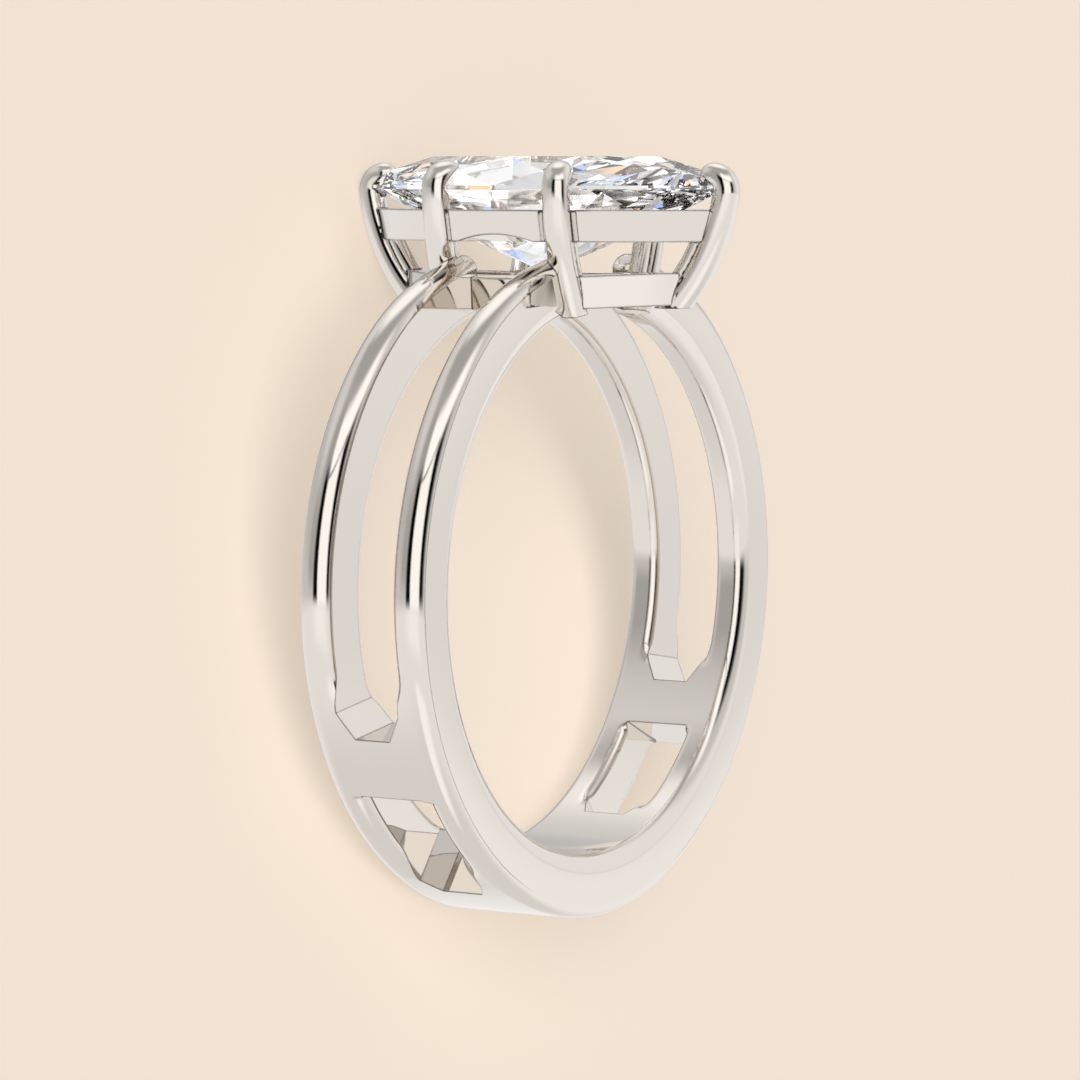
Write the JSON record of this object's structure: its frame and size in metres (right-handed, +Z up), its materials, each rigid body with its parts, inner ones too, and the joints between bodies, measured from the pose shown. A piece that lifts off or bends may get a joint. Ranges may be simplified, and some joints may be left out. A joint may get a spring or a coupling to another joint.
{
  "type": "split shank ring",
  "caption": "Polished ring whose band parts into two domed rails, with a window low on each side and a marquise-cut stone held by claws in an open basket, lying on its side.",
  "frame": {"origin": "on the floor that the ring lies on, under the middle of its bounding box", "axes": "+X across the finger hole, from one side of the hoop to the other; +Y from the foot of the hoop towards the head with the stone; +Z up from the floor. The finger hole's axis leans 12.1 degrees from +Z, towards -Y"},
  "size_m": [0.0212, 0.025, 0.0138],
  "materials": {
    "metal": "mirror polished white gold",
    "stone": "polished clear stone"
  },
  "bodies": {
    "root": {"ring_mounting": "metal", "marquise_stone": "stone"}
  },
  "joints": []
}
